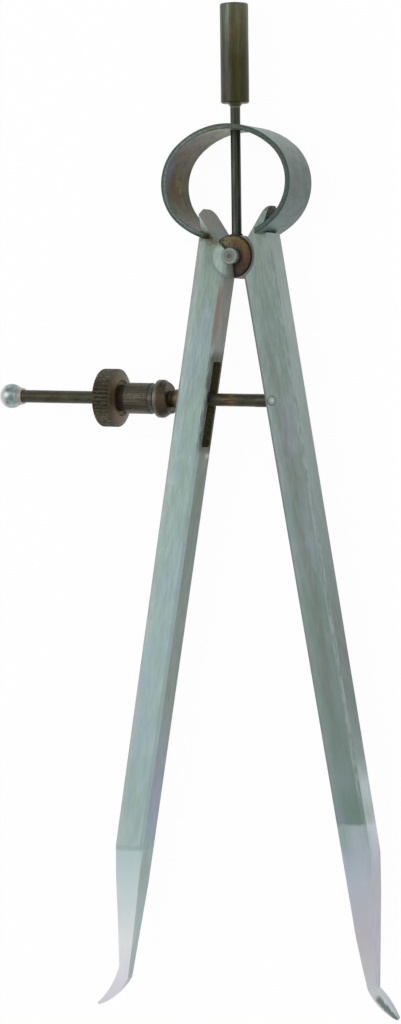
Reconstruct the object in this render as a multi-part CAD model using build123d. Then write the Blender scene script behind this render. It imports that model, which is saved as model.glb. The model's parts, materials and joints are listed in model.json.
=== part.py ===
from build123d import *
import os
from math import atan, cos, degrees, radians, sin, sqrt, tan

# Inside caliper, 200 mm nominal, lying on its back with the front faces up.
# Built in millimetres about the fulcrum: X across the legs, Y up the handle, Z out of the front.
# At the end everything is moved so that the origin is under the middle of the overall box.

# Legs
fulcrum_to_tip = 200.0
tip_reach = 43.6
leg_thickness = 8.1
leg_slope = 9.75
left_inner_edge = 1.1
left_head_width = 9.1
left_foot_width = 8.2
right_inner_edge = 2.4
right_head_width = 9.4
right_foot_width = 8.2
leg_bevel = 0.8

# Feet
foot_start = 156.5
toe_length = 7.6
left_ankle_reach = 36.65
left_ankle_rise = 3.2
right_ankle_reach = 37.9
right_ankle_rise = 0.6
left_toe_bulge = -0.9
right_toe_bulge = 0.5
toe_sole_bulge = 1.0
left_foot_bulge = -0.3
right_foot_bulge = 0.9
ankle_thickness = 2.6
toe_end_thickness = 1.3
toe_end_width = 0.6

# Leg heads
tongue_height = 12.95
tongue_tip_width = 0.95
left_tongue_lean = 0.1
right_tongue_lean = 0.9
tongue_slope = 33.0
left_tongue_reach = 8.4
right_tongue_reach = 9.3
tongue_corner_radius = 2.0
tongue_twist = 10.0
cheek_thickness = 1.2
cheek_proud = 0.4
cheek_eye_radius = 2.1
cheek_upper_angle = 132.0
cheek_lower_angle = 276.0
groove_relief = 1.1

# Fulcrum
roller_diameter = 11.5
roller_bevel = 0.4
fulcrum_pin_diameter = 2.8
pin_head_diameter = 4.4
pin_head_height = 0.5
pin_head_bevel = 0.2
centre_mark_diameter = 0.9
centre_mark_depth = 0.25

# Bow spring
bow_width = 14.8
bow_thickness = 1.4
bow_outer_half_width = 18.6
bow_outer_half_height = 15.5
bow_centre_height = 19.2
bow_side_radius = 13.6
bow_edge_bevel = 0.25
bow_left_end = 6.3
bow_right_end = 8.4
bow_notch_clearance = 0.15

# Handle
stem_diameter = 2.65
stem_thread_diameter = 2.2
stem_collar_diameter = 3.2
stem_collar_height = 2.1
stem_collar_seat = 3.9
grip_diameter = 7.5
grip_bottom = 40.5
grip_length = 26.3
grip_crown_height = 0.5
grip_bevel = 0.3
neck_height = 0.9
neck_diameter = 4.0

# Spindle, measured along its axis from the cross pin
spindle_diameter = 3.5
spindle_pivot_x = 11.3
spindle_pivot_y = 38.3
spindle_tilt = 2.0
spindle_end_past_pin = 2.4
cap_seat = 75.4
cap_tenon_diameter = 2.6
cap_tenon_length = 4.2
cap_diameter = 6.6
cap_length = 6.9
cap_neck_diameter = 4.3
cap_blend_angle = 50.0
cross_pin_diameter = 2.6

# Slot in the left leg and pocket in the right leg
slot_top = 27.9
slot_bottom = 50.4
slot_width = 4.8
slot_corner_radius = 0.8
pocket_clearance = 0.1
pocket_swing = 13.0
pocket_turn = 3.0

# Seat washer and thumb nut
washer_nose_diameter = 5.2
washer_nose_length = 3.2
washer_neck_diameter = 4.4
washer_bore_diameter = 3.7
washer_face_diameter = 7.9
washer_rim_diameter = 10.2
washer_cone_length = 2.0
washer_rim_width = 1.2
washer_back_diameter = 8.8
washer_back_length = 0.5
nut_sleeve_diameter = 8.3
nut_sleeve_length = 8.8
nut_band_length = 1.7
nut_neck_diameter = 7.2
nut_neck_length = 2.4
nut_ring_diameter = 9.8
nut_face_diameter = 13.4
nut_collar_diameter = 15.6
nut_collar_length = 5.4
nut_face_slope = 0.5
nut_rim_bevel = 0.55
nut_back_bevel = 0.2
knurl_count = 44
knurl_depth = 0.4

# Fits
running_clearance = 0.05
seat_clearance = 0.05
stem_hole_clearance = 0.3
washer_rest_gap = 0.1

slope = radians(leg_slope)
half_thickness = leg_thickness / 2
roller_radius = roller_diameter / 2
groove_radius = roller_radius + running_clearance
cheek_inner = half_thickness + cheek_proud - cheek_thickness
roller_half_length = cheek_inner - seat_clearance
cheek_outer = half_thickness + cheek_proud
ankle = toe_length - fulcrum_to_tip
far = 4 * fulcrum_to_tip


class Sizes:
    """The sizes in which the two legs differ."""

    def __init__(self, side, inner_edge, head_width, foot_width):
        self.side = side
        self.inner_edge = inner_edge
        self.head_width = head_width
        self.foot_width = foot_width

    def set_foot(self, ankle_reach, ankle_rise, foot_bulge, toe_bulge):
        """Reach and height of the ankle's outer corner; bulge of the foot's front and of the toe's top."""
        self.ankle_reach = ankle_reach
        self.ankle_rise = ankle_rise
        self.foot_bulge = foot_bulge
        self.toe_bulge = toe_bulge

    def set_tongue(self, reach, lean):
        """Reach of the shoulder that the bow's end bears on, and the tongue's lean outwards."""
        self.tongue_reach = reach
        self.tongue_lean = lean

    def inner_x(self, y):
        """Distance of the inner edge from the middle at height y."""
        return self.inner_edge - y * tan(slope)

    def outer_x(self, y):
        """Distance of the outer edge from the middle; the leg narrows from head to foot."""
        width = self.head_width + (self.foot_width - self.head_width) * (-y / foot_start)
        return self.inner_x(y) + width / cos(slope)

    def slant_foot(self):
        """Height at which the tongue's slanting side meets the inner edge."""
        top_x = self.tongue_reach + self.tongue_lean
        return tongue_height - (top_x - self.inner_edge) / tan(radians(tongue_slope))


left = Sizes(-1, left_inner_edge, left_head_width, left_foot_width)
left.set_foot(left_ankle_reach, left_ankle_rise, left_foot_bulge, left_toe_bulge)
left.set_tongue(left_tongue_reach, left_tongue_lean)
right = Sizes(1, right_inner_edge, right_head_width, right_foot_width)
right.set_foot(right_ankle_reach, right_ankle_rise, right_foot_bulge, right_toe_bulge)
right.set_tongue(right_tongue_reach, right_tongue_lean)

# Arcs of the bow's oval: two centres beside its middle and two above and below it
bow_side_centre = bow_outer_half_width - bow_side_radius
bow_rise = bow_outer_half_height - bow_side_radius
bow_far_centre = (bow_side_centre**2 - bow_rise**2) / (2 * bow_rise)
bow_far_radius = bow_outer_half_height + bow_far_centre


def bow_lower_arc(x, inset):
    """Height of the bow's lower arc at a distance x from the middle, inset from its outside."""
    return bow_centre_height + bow_far_centre - sqrt((bow_far_radius - inset) ** 2 - x**2)


def bow_oval(inset):
    """The bow's oval, inset from its outside, about the bow's middle."""
    turn = degrees(atan(bow_far_centre / bow_side_centre))
    side = bow_side_radius - inset
    far_side = bow_far_radius - inset
    arcs = [
        CenterArc((bow_side_centre, 0), side, -turn, 2 * turn),
        CenterArc((0, -bow_far_centre), far_side, turn, 180 - 2 * turn),
        CenterArc((-bow_side_centre, 0), side, 180 - turn, 2 * turn),
        CenterArc((0, bow_far_centre), far_side, 180 + turn, 180 - 2 * turn),
    ]
    return make_face(Curve() + arcs)


def extruded(face, low, high):
    """A face of the XY plane, made solid between two heights."""
    return extrude(Pos(0, 0, low) * face, amount=high - low)


def drum(radius, low, high):
    """A cylinder about Z between two heights."""
    return extruded(Circle(radius).face(), low, high)


def turned(points):
    """A solid of revolution about X from its outline of (x, radius) points."""
    outline = make_face(Polyline(*points, close=True))
    return revolve(outline, axis=Axis.X)


def bar_outline(leg):
    """A leg from its tongue to the ankle."""
    root_x = leg.tongue_reach
    shoulder_y = bow_lower_arc(root_x, 0) - seat_clearance
    clear_of_bow = bow_lower_arc(root_x, bow_thickness) + running_clearance
    top_x = root_x + leg.tongue_lean
    points = [
        (leg.inner_x(ankle), ankle),
        (leg.ankle_reach, ankle + leg.ankle_rise),
        (leg.outer_x(-foot_start), -foot_start),
        (leg.outer_x(shoulder_y), shoulder_y),
        (root_x, shoulder_y),
        (root_x, clear_of_bow),
        (top_x + tongue_tip_width, tongue_height),
        (top_x, tongue_height),
        (leg.inner_edge, leg.slant_foot()),
    ]
    return make_face(Polyline(*[(leg.side * x, y) for x, y in points], close=True))


def toe_outline(leg):
    """The claw that turns outwards and ends in the measuring tip."""
    inner_corner = (leg.inner_x(ankle), ankle)
    outer_corner = (leg.ankle_reach, ankle + leg.ankle_rise)
    tip_top = (tip_reach, toe_end_width - fulcrum_to_tip)
    tip_bottom = (tip_reach - toe_end_width / 2, -fulcrum_to_tip)
    edges = [
        Line(inner_corner, outer_corner),
        SagittaArc(outer_corner, tip_top, leg.toe_bulge),
        Line(tip_top, tip_bottom),
        SagittaArc(tip_bottom, inner_corner, toe_sole_bulge),
    ]
    face = make_face(Curve() + edges)
    return face if leg.side > 0 else mirror(face, about=Plane.YZ)


def thickness_wedge(leg):
    """All that lies between the leg's front and back, which close in towards the tip."""
    half_ankle = ankle_thickness / 2
    half_end = toe_end_thickness / 2
    beyond_tip = -fulcrum_to_tip - 1
    front = [
        Line((far, half_thickness), (-foot_start, half_thickness)),
        SagittaArc((ankle, half_ankle), (-foot_start, half_thickness), leg.foot_bulge),
        Line((ankle, half_ankle), (beyond_tip, half_end)),
    ]
    back = Polyline(
        (far, half_thickness),
        (far, -half_thickness),
        (-foot_start, -half_thickness),
        (ankle, -half_ankle),
        (beyond_tip, -half_end),
        (beyond_tip, half_end),
    )
    outline = Plane.YZ * make_face(Curve() + front + back)
    return extrude(outline, amount=far, both=True)


def tongue_rounding():
    """Trims the upper corners of a tongue, front and back."""
    blank = Pos(0, tongue_height, 0) * Box(far, 2 * tongue_corner_radius, far)
    trimmed = Pos(0, tongue_height - far / 2, 0) * Box(far, far, leg_thickness)
    corners = trimmed.edges().filter_by(Axis.X).group_by(Axis.Y)[-1]
    return blank - fillet(corners, tongue_corner_radius)


def tongue_twist_cut(leg):
    """What a left leg's tongue loses where its slanting side turns towards the front."""
    slant = Pos(-leg.inner_edge, leg.slant_foot(), -half_thickness) * Rot(0, 0, tongue_slope)
    room = Pos(far / 2, tongue_height, 0) * Box(far, 2 * tongue_height, far)
    return slant * Rot(0, -tongue_twist, 0) * room


def cheek():
    """Lobe of the left leg that laps over the front end of the roller and carries the pin."""
    upper = radians(cheek_upper_angle)
    lower = radians(cheek_lower_angle)
    sector = make_face(
        Polyline(
            (0, 0),
            (far * cos(upper), far * sin(upper)),
            (-far, -far),
            (far * cos(lower), far * sin(lower)),
            close=True,
        )
    )
    face = (Circle(roller_radius) & sector) + Circle(cheek_eye_radius)
    return extruded(face, cheek_inner, cheek_outer)


def head_cut():
    """What a left leg's head loses: the groove for the roller, relieved at the open back."""
    groove = drum(groove_radius, -far, cheek_inner)
    middle = groove_relief / 2 - half_thickness
    return groove + Pos(0, 0, middle) * Cone(groove_radius + groove_relief, groove_radius, groove_relief)


def leg_body(leg):
    """One leg; the right one carries its cheek at the back instead of the front."""
    bar = extruded(bar_outline(leg), -half_thickness, half_thickness)
    long_edges = [edge for edge in bar.edges().filter_by(Plane.XY) if edge.length > toe_length * 2]
    bar = chamfer(long_edges, leg_bevel) - tongue_rounding()
    toe = extruded(toe_outline(leg), -half_thickness, half_thickness)
    body = (bar + toe) & thickness_wedge(leg)
    turn = Rot(0, 180, 0) if leg.side > 0 else Pos(0, 0, 0)
    body = body - turn * head_cut() - turn * tongue_twist_cut(leg) + turn * cheek()
    return body - drum(fulcrum_pin_diameter / 2 + running_clearance, -far, far)


def on_spindle(shape):
    """Places a shape that was turned about X from the cross pin outwards along the spindle."""
    place = Pos(spindle_pivot_x, -spindle_pivot_y, 0) * Rot(0, 0, 180 - spindle_tilt)
    return place * shape


def left_leg():
    """The left leg, with the slot that the spindle passes through."""
    middle = (slot_top + slot_bottom) / 2 / cos(slope)
    length = (slot_bottom - slot_top) / cos(slope)
    outline = Plane.YZ * RectangleRounded(length, slot_width, slot_corner_radius)
    slot = extrude(outline, amount=far, both=True)
    return leg_body(left) - Rot(0, 0, -leg_slope) * Pos(0, -middle, 0) * slot


def right_leg():
    """The right leg, with the pocket where the spindle swivels on its cross pin."""
    radius = spindle_diameter / 2
    swing = radians(pocket_swing)
    reach = 2 * right_head_width
    end = sqrt(spindle_end_past_pin**2 + radius**2) + pocket_clearance
    mouth = radius / cos(swing) + reach * tan(swing) + pocket_clearance
    flare = make_face(Polyline((0, -end), (0, end), (reach, mouth), (reach, -mouth), close=True))
    opening = Rot(0, 0, -pocket_turn) * flare
    half_depth = radius + pocket_clearance
    pocket = extruded(Circle(end).face(), -half_depth, half_depth)
    pocket = pocket + extruded(opening, -half_depth, half_depth)
    hole = Pos(spindle_pivot_x, -spindle_pivot_y, 0) * drum(cross_pin_diameter / 2, -far, far)
    return leg_body(right) - on_spindle(pocket) - hole


def cross_pin():
    """Pin through the right leg on which the spindle swivels."""
    pin = drum(cross_pin_diameter / 2, -half_thickness, half_thickness)
    pin = chamfer(pin.edges().filter_by(GeomType.CIRCLE), 0.15)
    return Pos(spindle_pivot_x, -spindle_pivot_y, 0) * pin


def fulcrum_roller():
    """The roller that both legs bear on; the handle screws into it from above."""
    roller = drum(roller_radius, -roller_half_length, roller_half_length)
    roller = chamfer(roller.edges().filter_by(GeomType.CIRCLE), roller_bevel)
    roller = roller - drum(fulcrum_pin_diameter / 2, -far, far)
    seat = Pos(0, stem_collar_seat, 0) * Rot(-90, 0, 0) * drum(stem_collar_diameter / 2, 0, far)
    thread = Rot(-90, 0, 0) * drum(stem_thread_diameter / 2, 0, far)
    return roller - seat - thread


def fulcrum_pin():
    """Headed pin through both cheeks and the roller, with a centre mark in each head."""
    seat = cheek_outer + seat_clearance
    end = seat + pin_head_height
    head = drum(pin_head_diameter / 2, seat, end)
    head = chamfer(head.edges().filter_by(GeomType.CIRCLE).group_by(Axis.Z)[-1], pin_head_bevel)
    head = head - drum(centre_mark_diameter / 2, end - centre_mark_depth, far)
    return drum(fulcrum_pin_diameter / 2, -seat, seat) + head + mirror(head, about=Plane.XY)


def bow_spring():
    """Flat band bent to an open oval; its notched ends straddle the tongues."""
    band = extruded(bow_oval(0), -bow_width / 2, bow_width / 2)
    band = band - extruded(bow_oval(bow_thickness), -far, far)
    levels = band.edges().group_by(Axis.Z)
    band = Pos(0, bow_centre_height, 0) * chamfer(levels[0] + levels[-1], bow_edge_bevel)
    gap = Pos((bow_right_end - bow_left_end) / 2, 0, 0) * Box(
        bow_left_end + bow_right_end, 2 * tongue_height, far
    )
    notch_left = left_tongue_reach + seat_clearance
    notch_right = right_tongue_reach + seat_clearance
    notch = Pos((notch_right - notch_left) / 2, 0, 0) * Box(
        notch_left + notch_right, 2 * tongue_height, leg_thickness + 2 * bow_notch_clearance
    )
    hole = Rot(-90, 0, 0) * drum(stem_diameter / 2 + stem_hole_clearance, 0, far)
    return band - gap - notch - hole


def handle():
    """Grip, stem, collar and thread, turned from one bar."""
    grip_top = grip_bottom + grip_length
    grip_radius = grip_diameter / 2
    stem_radius = stem_diameter / 2
    collar_top = stem_collar_seat + stem_collar_height
    thread_end = fulcrum_pin_diameter / 2 + stem_hole_clearance
    points = [
        (0, thread_end),
        (stem_thread_diameter / 2, thread_end),
        (stem_thread_diameter / 2, stem_collar_seat),
        (stem_collar_diameter / 2, stem_collar_seat),
        (stem_collar_diameter / 2, collar_top),
        (stem_radius, collar_top),
        (stem_radius, grip_bottom - neck_height),
        (neck_diameter / 2, grip_bottom),
        (grip_radius - grip_bevel, grip_bottom),
        (grip_radius, grip_bottom + grip_bevel),
        (grip_radius, grip_top - grip_bevel),
        (grip_radius - grip_bevel, grip_top),
        (0, grip_top + grip_crown_height),
    ]
    return revolve(make_face(Polyline(*points, close=True)), axis=Axis.Y)


def spindle():
    """Screw spindle with its cross hole at one end and the cap's tenon at the other."""
    radius = spindle_diameter / 2
    tenon = cap_tenon_diameter / 2
    rod = turned(
        [
            (-spindle_end_past_pin, 0),
            (-spindle_end_past_pin, radius),
            (cap_seat, radius),
            (cap_seat, tenon),
            (cap_seat + cap_tenon_length, tenon),
            (cap_seat + cap_tenon_length, 0),
        ]
    )
    return on_spindle(rod - drum(cross_pin_diameter / 2 + running_clearance, -far, far))


def spindle_cap():
    """Polished end cap that keeps the nut on the spindle."""
    ball = cap_diameter / 2
    centre = cap_seat + cap_length - ball
    blend = radians(cap_blend_angle)
    meeting = (centre - ball * cos(blend), ball * sin(blend))
    outline = [
        Line((cap_seat, 0), (cap_seat, cap_neck_diameter / 2)),
        Line((cap_seat, cap_neck_diameter / 2), meeting),
        ThreePointArc(meeting, (centre, ball), (centre + ball, 0)),
        Line((centre + ball, 0), (cap_seat, 0)),
    ]
    cap = revolve(make_face(Curve() + outline), axis=Axis.X)
    bore = turned(
        [
            (cap_seat - 1, 0),
            (cap_seat - 1, cap_tenon_diameter / 2),
            (cap_seat + cap_tenon_length, cap_tenon_diameter / 2),
            (cap_seat + cap_tenon_length, 0),
        ]
    )
    return on_spindle(cap - bore)


def face_slope():
    """Slope of the left leg's outer face."""
    return (left.outer_x(-foot_start) - left.outer_x(0)) / foot_start


def leg_face_crossing():
    """Distance along the spindle from the cross pin to the left leg's outer face."""
    tilt = radians(spindle_tilt)
    reach = left.outer_x(0) + spindle_pivot_x + spindle_pivot_y * face_slope()
    return reach / (cos(tilt) + sin(tilt) * face_slope())


def leg_lean():
    """Angle between the left leg's outer face and a plane square to the spindle."""
    return degrees(atan(face_slope())) - spindle_tilt


def towards_leg(offset):
    """All that lies on the leg's side of a plane parallel to the left leg's outer face."""
    plane_at = Pos(leg_face_crossing() + offset, 0, 0) * Rot(0, 0, leg_lean())
    return plane_at * Pos(-far / 2, 0, 0) * Box(far, far, far)


def washer_back():
    """Distance along the spindle from the cross pin to the back of the washer."""
    length = washer_nose_length + washer_cone_length + washer_rim_width + washer_back_length
    return leg_face_crossing() + washer_rest_gap + length


def seat_washer():
    """Thrust washer whose ball nose beds in the edges of the slot in the leg."""
    back = washer_back()
    rim = back - washer_back_length
    cone = rim - washer_rim_width
    face = cone - washer_cone_length
    nose = washer_nose_diameter / 2
    neck = washer_neck_diameter / 2
    depth = washer_face_diameter / 2
    body = turned(
        [
            (face - depth, 0),
            (face - depth, washer_face_diameter / 2),
            (face, washer_face_diameter / 2),
            (cone, washer_rim_diameter / 2),
            (rim, washer_rim_diameter / 2),
            (back, washer_back_diameter / 2),
            (back, 0),
        ]
    )
    body = body - towards_leg(washer_rest_gap + washer_nose_length)
    ball_above_leg = sqrt(nose**2 - (slot_width / 2) ** 2) + washer_rest_gap
    ball_at = leg_face_crossing() + ball_above_leg / cos(radians(leg_lean()))
    ball = Pos(ball_at, 0, 0) * Sphere(nose)
    barrel = turned([(ball_at, 0), (ball_at, neck), (cone, neck), (cone, 0)])
    bore = turned([(0, 0), (0, washer_bore_diameter / 2), (far, washer_bore_diameter / 2), (far, 0)])
    return on_spindle(body + ball + barrel - bore)


def thumb_nut():
    """Nut with a long sleeve and a knurled collar."""
    bore = spindle_diameter / 2 + running_clearance
    sleeve = nut_sleeve_diameter / 2
    band = sleeve - 0.15
    neck = nut_neck_diameter / 2
    collar = nut_collar_diameter / 2
    ring = nut_ring_diameter / 2
    face = nut_face_diameter / 2
    end = washer_back() + seat_clearance
    band_end = end + nut_band_length
    sleeve_end = end + nut_sleeve_length
    ring_at = sleeve_end + nut_neck_length - nut_face_slope
    face_at = ring_at + nut_face_slope
    rim_at = face_at + nut_rim_bevel
    back = ring_at + nut_collar_length
    body = turned(
        [
            (end, bore),
            (end, band - 0.3),
            (end + 0.3, band),
            (band_end, band),
            (band_end, sleeve),
            (sleeve_end - 0.2, sleeve),
            (sleeve_end, sleeve - 0.2),
            (sleeve_end, neck),
            (face_at, neck),
            (face_at, ring - 0.45),
            (ring_at, ring),
            (face_at, face),
            (rim_at, collar),
            (back - nut_back_bevel, collar),
            (back, collar - nut_back_bevel),
            (back, bore),
        ]
    )
    groove = Rot(45, 0, 0) * Box(far, knurl_depth * sqrt(2), knurl_depth * sqrt(2))
    groove = Pos(0, 0, collar) * groove
    reach = Pos((face_at + back) / 2, 0, 0) * Rot(0, 90, 0)
    rim_zone = reach * Cylinder(collar + 1, back - face_at + 1)
    grooves = [Rot(360 / knurl_count * k, 0, 0) * groove for k in range(knurl_count)]
    return on_spindle(body - [cut & rim_zone for cut in grooves])


parts = {
    "left_leg": left_leg(),
    "right_leg": right_leg(),
    "bow_spring": bow_spring(),
    "fulcrum_roller": fulcrum_roller(),
    "fulcrum_pin": fulcrum_pin(),
    "handle": handle(),
    "spindle": spindle(),
    "cross_pin": cross_pin(),
    "spindle_cap": spindle_cap(),
    "seat_washer": seat_washer(),
    "thumb_nut": thumb_nut(),
}

box = Compound(children=[Part() + shape for shape in parts.values()]).bounding_box()
to_origin = Pos(-(box.min.X + box.max.X) / 2, -(box.min.Y + box.max.Y) / 2, -box.min.Z)
os.makedirs("parts", exist_ok=True)
for name, shape in parts.items():
    export_step(to_origin * (Part() + shape), f"parts/{name}.step")
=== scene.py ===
import json
import math
from types import SimpleNamespace

import bmesh
import bpy
from mathutils import Matrix, Vector


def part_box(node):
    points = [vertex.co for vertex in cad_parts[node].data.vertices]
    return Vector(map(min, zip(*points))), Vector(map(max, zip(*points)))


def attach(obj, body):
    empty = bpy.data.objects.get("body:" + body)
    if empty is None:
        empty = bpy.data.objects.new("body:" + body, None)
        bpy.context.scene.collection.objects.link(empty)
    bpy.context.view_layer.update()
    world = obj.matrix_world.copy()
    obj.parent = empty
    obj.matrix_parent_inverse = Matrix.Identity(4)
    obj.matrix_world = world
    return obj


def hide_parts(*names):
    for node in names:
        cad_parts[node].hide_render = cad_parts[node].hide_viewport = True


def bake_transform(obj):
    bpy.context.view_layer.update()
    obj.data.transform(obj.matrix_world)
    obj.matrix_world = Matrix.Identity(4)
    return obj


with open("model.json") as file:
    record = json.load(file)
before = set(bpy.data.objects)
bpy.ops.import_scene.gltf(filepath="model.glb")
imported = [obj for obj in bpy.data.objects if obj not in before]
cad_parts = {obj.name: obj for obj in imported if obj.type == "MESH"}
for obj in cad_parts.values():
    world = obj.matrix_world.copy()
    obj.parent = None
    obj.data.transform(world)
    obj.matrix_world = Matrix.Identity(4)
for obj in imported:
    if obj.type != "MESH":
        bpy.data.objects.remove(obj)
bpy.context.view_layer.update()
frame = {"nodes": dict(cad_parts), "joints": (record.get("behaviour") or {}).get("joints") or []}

millimetres_in_metre = 1000

# Places and directions, read from the frame
roller_low, roller_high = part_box("fulcrum_roller")
fulcrum = (roller_low + roller_high) / 2
pin_low, pin_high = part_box("cross_pin")
swivel = (pin_low + pin_high) / 2
nut_low, nut_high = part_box("thumb_nut")
washer_low, washer_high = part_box("seat_washer")
joints = {joint["name"]: joint for joint in frame["joints"]}
screw_axis = Vector(joints["washer_slide"]["axis"]).normalized()
screw_side = Vector((0, 0, 1)).cross(screw_axis)
screw_turn = -math.atan2(screw_axis.y, screw_axis.x)

# The spindle, in metres along its axis from the cross pin
spindle_radius = 0.00175
spindle_start = -0.0024
thread_start = 0.0065
spindle_end = 0.0754
thread_pitch = 0.0006
thread_depth = 0.00012
thread_steps = 6
spindle_sides = 24

# How the bow is cut in halves, in metres
weld_distance = 1e-7
bow_crease_angle = math.radians(35)

# The legs, in millimetres from the fulcrum, up or along the leg
slot_low = -51.2
slot_high = -28.2
slot_half_width = 2.45
left_foot_line = -158.0
right_foot_line = -149.4
left_tongue_edge = (5.0, 7.5)
right_tongue_edge = (6.0, 8.0)
toe_streak_place = (38.04, -193.14, 0.0)

# How a leg and the right toe are turned from upright
leg_slope = math.radians(9.75)
toe_turn = math.radians(48.5)

# How squarely a leg's surface faces a direction where a mask begins and where it is full
side_facing = (0.78, 0.95)
flat_facing = (0.9, 0.98)

# The handle's stem, its neck, painted pale against the shade under the grip, and its grip, in
# millimetres above the fulcrum
stem_start = 8
stem_end = 40
neck_low = 39.3
neck_high = 40.6
grip_start = 41
grip_middle = 52
grip_end = 67

# The thumb nut, in millimetres along the spindle from the cross pin, and from its axis
nut_far = (swivel.x - nut_low.x) * millimetres_in_metre
nut_near = (swivel.x - nut_high.x) * millimetres_in_metre
collar_edge = (nut_far - 6.4, nut_far - 5.8)
sleeve_edge = (nut_far - 6.0, nut_far - 7.0)
dish_floor = (nut_near + 10.4, nut_near + 10.6)
dish_rim = (nut_near + 12.2, nut_near + 11.9)
undercut_low = nut_near + 8.9
undercut_high = nut_near + 10.9
undercut_radius = (4.85, 4.6)
pale_low = nut_near + 0.1
pale_high = nut_near + 1.7
knurl_root_radius = (7.75, 7.5)

# The seat washer and the cap, in millimetres along the spindle from the cross pin
washer_far = (swivel.x - washer_low.x) * millimetres_in_metre
washer_near = (swivel.x - washer_high.x) * millimetres_in_metre
washer_back_edge = (washer_far - 1.7, washer_far - 1.2)
ball_edge = (washer_near + 2.2, washer_near + 1.2)
cap_collar_edge = (77.5, 75.5)

# How far the nut's painted brown reflection and the cap's painted highlight are turned from the
# front
nut_reflection_turn = math.radians(40)
cap_highlight_turn = math.radians(65)

# The pins, the roller and the bow, in millimetres
fulcrum_pin_radius = 2.2
cross_pin_radius = 1.3
roller_shaded_rim_radius = (4.9, 5.4)
bow_centre_height = 19.2
bow_outer_radius = (17.4, 18.3)

# How many times wider than high the bow's outline is
bow_width_share = 1.2

# The camera, in millimetres and degrees about the fulcrum
camera_azimuth = 25.0
camera_elevation = 0.70
camera_roll = 0.71
camera_distance = 1026.67
camera_target = (-11.573, -67.438, 0.0)

# Its lens, in pixels of the picture, its sensor in millimetres, and its range in metres
focal_pixels = 3862.0
image_height = 1024
sensor_width = 36
nearest_seen = 0.01
farthest_seen = 20

# The lights, in metres and watts
key_place = (-0.55, 0.25, 0.95)
key_width = 0.7
key_power = 3.0
fill_place = (0.9, 0.1, 0.7)
fill_width = 0.9
fill_power = 2.0
surround_strength = 0.6

# The white ground: how far it reaches in metres, how pale it is, and how much of it glows
floor_reach = 3.0
floor_grey = 0.9
floor_glow = 0.97

# The roughness of every noise, from soft at 0 to crisp at 1
noise_roughness = 0.6


def new_material(name, metallic, roughness, specular=0.5):
    """A node material with only its Principled shader and output, joined."""
    material = bpy.data.materials.new(name)
    material.use_nodes = True
    nodes = material.node_tree.nodes
    nodes.clear()
    output = nodes.new("ShaderNodeOutputMaterial")
    shader = nodes.new("ShaderNodeBsdfPrincipled")
    material.node_tree.links.new(shader.outputs["BSDF"], output.inputs["Surface"])
    shader.inputs["Metallic"].default_value = metallic
    shader.inputs["Roughness"].default_value = roughness
    shader.inputs["Specular IOR Level"].default_value = specular
    return material, shader


def connect(material, socket, value):
    """Links a socket to another, or sets its value."""
    if isinstance(value, bpy.types.NodeSocket):
        material.node_tree.links.new(value, socket)
    else:
        socket.default_value = value


def add(material, kind, **inputs):
    """A node with its inputs set, or linked where a socket is given."""
    node = material.node_tree.nodes.new(kind)
    for name, value in inputs.items():
        connect(material, node.inputs[name.replace("_", " ")], value)
    return node


def srgb(red, green, blue):
    """A colour written as it looks in a picture, 0 to 255, as the shader wants it."""

    def linear(value):
        part = value / 255
        return part / 12.92 if part <= 0.04045 else ((part + 0.055) / 1.055) ** 2.4

    return (linear(red), linear(green), linear(blue), 1.0)


def local(material, origin, turn=0.0):
    """The surface's point in millimetres from a place, turned about Z."""
    source = material.node_tree.nodes.new("ShaderNodeTexCoord").outputs["Object"]
    mapping = add(material, "ShaderNodeMapping", Vector=source)
    mapping.inputs["Scale"].default_value = (millimetres_in_metre,) * 3
    mapping.inputs["Rotation"].default_value = (0, 0, turn)
    turned_origin = Matrix.Rotation(turn, 3, "Z") @ origin
    mapping.inputs["Location"].default_value = turned_origin * -millimetres_in_metre
    return mapping.outputs["Vector"]


def parts(material, vector):
    """The three parts of a vector."""
    return add(material, "ShaderNodeSeparateXYZ", Vector=vector).outputs[:]


def normal_dot(material, vector):
    """The surface's normal multiplied with a vector."""
    source = material.node_tree.nodes.new("ShaderNodeTexCoord").outputs["Normal"]
    node = material.node_tree.nodes.new("ShaderNodeVectorMath")
    node.operation = "DOT_PRODUCT"
    connect(material, node.inputs[0], source)
    connect(material, node.inputs[1], vector)
    return node.outputs["Value"]


def facing(material, direction):
    """How squarely the surface faces a fixed direction of the object, 1 when it does."""
    return normal_dot(material, Vector(direction).normalized())


def math_node(material, operation, first, second=0.0):
    """Arithmetic on one or two numbers."""
    node = material.node_tree.nodes.new("ShaderNodeMath")
    node.operation = operation
    connect(material, node.inputs[0], first)
    connect(material, node.inputs[1], second)
    return node.outputs[0]


def unsigned(material, value):
    """A number without its sign."""
    return math_node(material, "ABSOLUTE", value)


def times(material, *factors):
    """The product of masks or numbers."""
    product = factors[0]
    for factor in factors[1:]:
        product = math_node(material, "MULTIPLY", product, factor)
    return product


def radius_of(material, first, second):
    """Distance from an axis, from the two parts of a point that are square to it."""
    squares = math_node(
        material,
        "ADD",
        times(material, first, first),
        times(material, second, second),
    )
    return math_node(material, "SQRT", squares)


def uneven(material, place, pattern, amount):
    """A place moved by a pattern, so that an edge drawn from it isn't straight."""
    return math_node(material, "ADD", place, times(material, pattern, amount))


def ramp(material, value, low, high):
    """0 at low, 1 at high, smooth between."""
    node = add(material, "ShaderNodeMapRange", Value=value)
    node.interpolation_type = "SMOOTHSTEP"
    node.inputs["From Min"].default_value = low
    node.inputs["From Max"].default_value = high
    return node.outputs["Result"]


def band(material, value, low, high, soft):
    """1 between two values, falling smoothly to 0 outside."""
    return times(
        material,
        ramp(material, value, low - soft, low + soft),
        ramp(material, value, high + soft, high - soft),
    )


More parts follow.
